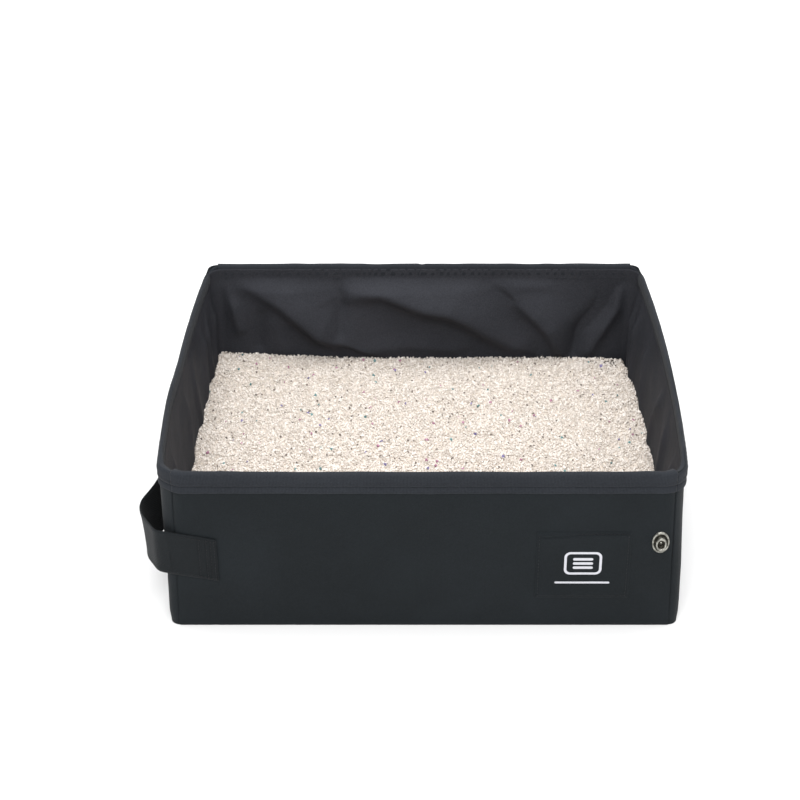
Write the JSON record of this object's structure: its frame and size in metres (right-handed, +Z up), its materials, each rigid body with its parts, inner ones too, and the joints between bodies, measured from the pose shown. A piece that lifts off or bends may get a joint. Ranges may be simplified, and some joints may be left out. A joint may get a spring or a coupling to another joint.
{
  "type": "foldable litter box",
  "caption": "Open fabric tray with stiff-boarded long walls and floor, soft short walls, loose waterproof liner, snap strap and a bed of litter; folds flat.",
  "frame": {"origin": "under the middle of the whole object, on the surface that it stands on", "axes": "+X along the long walls to the right, +Y from the front wall to the back wall, +Z up"},
  "size_m": [0.4421, 0.3644, 0.148],
  "materials": {
    "outer_fabric": "plain woven coated fabric, matt with a faint sheen",
    "binding_tape": "ribbed binding tape, sewn",
    "waterproof_liner": "satin coated liner with soft folds",
    "stiff_board": "matt sheet",
    "strap_webbing": "folded fabric strap with box stitching",
    "label_cloth": "sewn patch with a plain printed figure",
    "loose_litter": "loose cream granules about 2 mm across, a few of them coloured",
    "snap_metal": "worn nickel"
  },
  "bodies": {
    "back_wall": {"back_wall_fabric": "outer_fabric", "back_board_left": "stiff_board", "back_board_right": "stiff_board", "back_rim_binding": "binding_tape", "back_wall_liner": "waterproof_liner", "left_wall_fabric": "outer_fabric", "right_wall_fabric": "outer_fabric", "left_wall_liner": "waterproof_liner", "right_wall_liner": "waterproof_liner", "left_rim_binding": "binding_tape", "right_rim_binding": "binding_tape"},
    "floor_back": {"floor_back_fabric": "outer_fabric", "floor_back_board_left": "stiff_board", "floor_back_board_right": "stiff_board", "floor_back_liner": "waterproof_liner", "litter_back": "loose_litter"},
    "floor_front": {"floor_front_fabric": "outer_fabric", "floor_front_board_left": "stiff_board", "floor_front_board_right": "stiff_board", "floor_front_liner": "waterproof_liner", "litter_front": "loose_litter"},
    "front_wall": {"front_wall_fabric": "outer_fabric", "front_board_left": "stiff_board", "front_board_right": "stiff_board", "front_rim_binding": "binding_tape", "front_wall_liner": "waterproof_liner", "label_patch": "label_cloth", "strap_sewn_end": "strap_webbing", "snap_stud": "snap_metal", "snap_washer": "snap_metal"},
    "strap": {"strap_tail": "strap_webbing", "snap_socket": "snap_metal", "snap_cap": "snap_metal"}
  },
  "joints": [
    {"name": "floor_back_fold", "type": "hinge", "parent": "back_wall", "child": "floor_back", "pos_m": [0.00938, 0.17785, 0.0041], "axis": [-1, 0, 0], "range_deg": [0, 86], "deforming": ["left_wall_fabric", "right_wall_fabric", "left_rim_binding", "right_rim_binding", "left_wall_liner", "right_wall_liner", "back_wall_liner", "litter_back"]},
    {"name": "floor_centre_fold", "type": "hinge", "parent": "floor_back", "child": "floor_front", "pos_m": [0.00938, 0.00145, 0], "axis": [1, 0, 0], "range_deg": [0, 172], "deforming": ["litter_front"]},
    {"name": "front_wall_fold", "type": "hinge", "parent": "floor_front", "child": "front_wall", "pos_m": [0.00938, -0.17495, 0.0041], "axis": [-1, 0, 0], "range_deg": [0, 86], "deforming": ["front_wall_liner"]},
    {"name": "strap_swing", "type": "hinge", "parent": "front_wall", "child": "strap", "pos_m": [-0.19162, -0.17975, 0.07375], "axis": [0, 0, 1], "range_deg": [0, 100]}
  ],
  "couplings": [
    {"joint": "floor_centre_fold", "follows": "floor_back_fold", "ratio": 2},
    {"joint": "front_wall_fold", "follows": "floor_back_fold", "ratio": 1}
  ]
}
